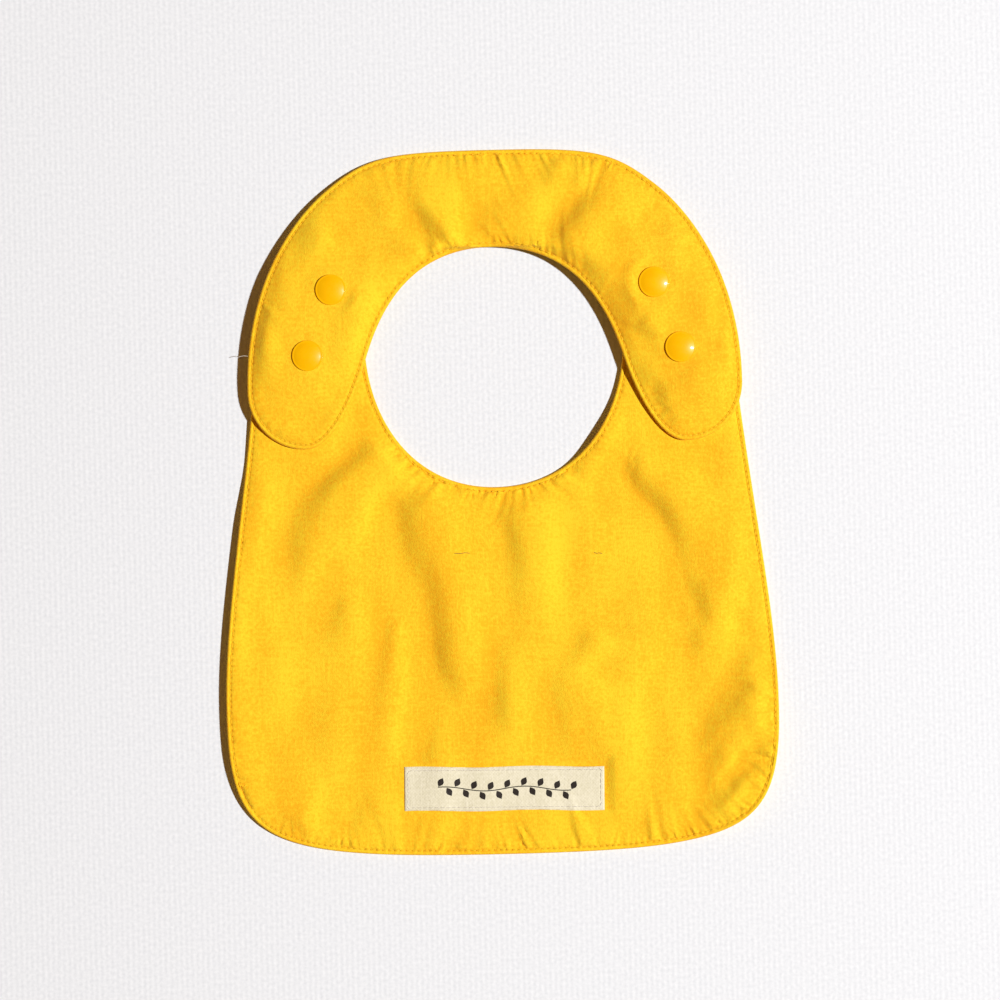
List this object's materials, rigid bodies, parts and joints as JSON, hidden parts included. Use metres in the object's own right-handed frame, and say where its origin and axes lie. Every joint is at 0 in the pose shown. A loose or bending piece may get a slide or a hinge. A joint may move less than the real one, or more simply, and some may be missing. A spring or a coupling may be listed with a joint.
{
  "type": "baby bib",
  "caption": "Cotton baby bib with a separate horseshoe neckband that snaps to both shoulders, sewn in padded layers and closed with plastic snap fasteners.",
  "frame": {"origin": "middle of the whole outline seen from above, on the table under the bib", "axes": "+X to the right of the face that carries the label, neckband at the top, +Y from the hem to the nape, +Z out of the face"},
  "size_m": [0.224, 0.2862, 0.0119],
  "materials": {
    "yellow_cotton": "plain woven cotton, matt",
    "absorbent_core": "soft felt, hidden",
    "yellow_thread": "twisted sewing thread",
    "snap_plastic": "gloss",
    "label_cotton": "woven cotton tape, matt",
    "label_thread": "twisted sewing thread"
  },
  "bodies": {
    "bib_body": {"body_front_panel": "yellow_cotton", "body_back_panel": "yellow_cotton", "body_absorbent_core": "absorbent_core", "body_topstitch": "yellow_thread", "label_patch": "label_cotton", "label_stitching": "label_thread", "snap_left_upper_stud": "snap_plastic", "snap_left_upper_back_cap": "snap_plastic", "snap_left_lower_stud": "snap_plastic", "snap_left_lower_back_cap": "snap_plastic", "snap_right_upper_stud": "snap_plastic", "snap_right_upper_back_cap": "snap_plastic", "snap_right_lower_stud": "snap_plastic", "snap_right_lower_back_cap": "snap_plastic"},
    "neckband": {"neckband_centre_front_panel": "yellow_cotton", "neckband_centre_back_panel": "yellow_cotton", "neckband_centre_core": "absorbent_core", "neckband_centre_outer_topstitch": "yellow_thread", "neckband_centre_inner_topstitch": "yellow_thread"},
    "neckband_left_arm": {"neckband_left_front_panel": "yellow_cotton", "neckband_left_back_panel": "yellow_cotton", "neckband_left_core": "absorbent_core", "neckband_left_topstitch": "yellow_thread", "snap_left_upper_cap": "snap_plastic", "snap_left_upper_socket": "snap_plastic", "snap_left_lower_cap": "snap_plastic", "snap_left_lower_socket": "snap_plastic"},
    "neckband_right_arm": {"neckband_right_front_panel": "yellow_cotton", "neckband_right_back_panel": "yellow_cotton", "neckband_right_core": "absorbent_core", "neckband_right_topstitch": "yellow_thread", "snap_right_upper_cap": "snap_plastic", "snap_right_upper_socket": "snap_plastic", "snap_right_lower_cap": "snap_plastic", "snap_right_lower_socket": "snap_plastic"}
  },
  "joints": [
    {"name": "neckband_lift", "type": "slide", "parent": "bib_body", "child": "neckband", "axis": [0, 0, 1], "range_m": [0, 0.04]},
    {"name": "left_arm_fold", "type": "hinge", "parent": "neckband", "child": "neckband_left_arm", "pos_m": [-0.053, 0.0999, 0.01008], "axis": [-1, 0, 0], "range_deg": [0, 170]},
    {"name": "right_arm_fold", "type": "hinge", "parent": "neckband", "child": "neckband_right_arm", "pos_m": [0.053, 0.0999, 0.01008], "axis": [-1, 0, 0], "range_deg": [0, 170]}
  ]
}
